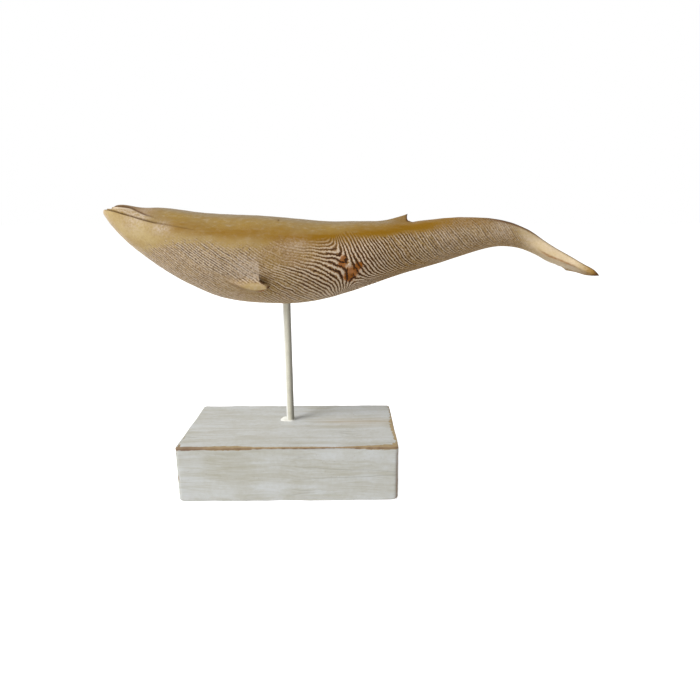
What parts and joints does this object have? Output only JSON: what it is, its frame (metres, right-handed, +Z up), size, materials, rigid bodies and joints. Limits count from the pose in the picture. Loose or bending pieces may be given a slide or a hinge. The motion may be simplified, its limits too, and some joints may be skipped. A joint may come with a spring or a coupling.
{
  "type": "whale figurine",
  "caption": "Carved wooden whale ornament with flippers, dorsal fin and flukes, held up by a thin painted rod over a rectangular whitewashed wooden block.",
  "frame": {"origin": "centre of the block's underside, on the table", "axes": "+Z up, +X from the head towards the tail, -Y towards the viewer"},
  "size_m": [0.4447, 0.1143, 0.2709],
  "materials": {
    "carved_wood": "brushed, waxed softwood with raised grain",
    "pale_wood": "sanded, waxed softwood",
    "white_paint": "satin off white paint",
    "white_filler": "painted filler",
    "washed_wood": "whitewashed, rubbed through at the edges",
    "plated_steel": "zinc plated",
    "felt": "felt sheet"
  },
  "bodies": {
    "root": {"whale_body": "carved_wood", "left_flipper": "pale_wood", "right_flipper": "pale_wood", "tail_flukes": "pale_wood", "support_rod": "white_paint", "rod_foot_filler": "white_filler", "base_block": "washed_wood", "rod_washer": "plated_steel", "rod_nut": "plated_steel", "felt_underlay": "felt"}
  },
  "joints": []
}
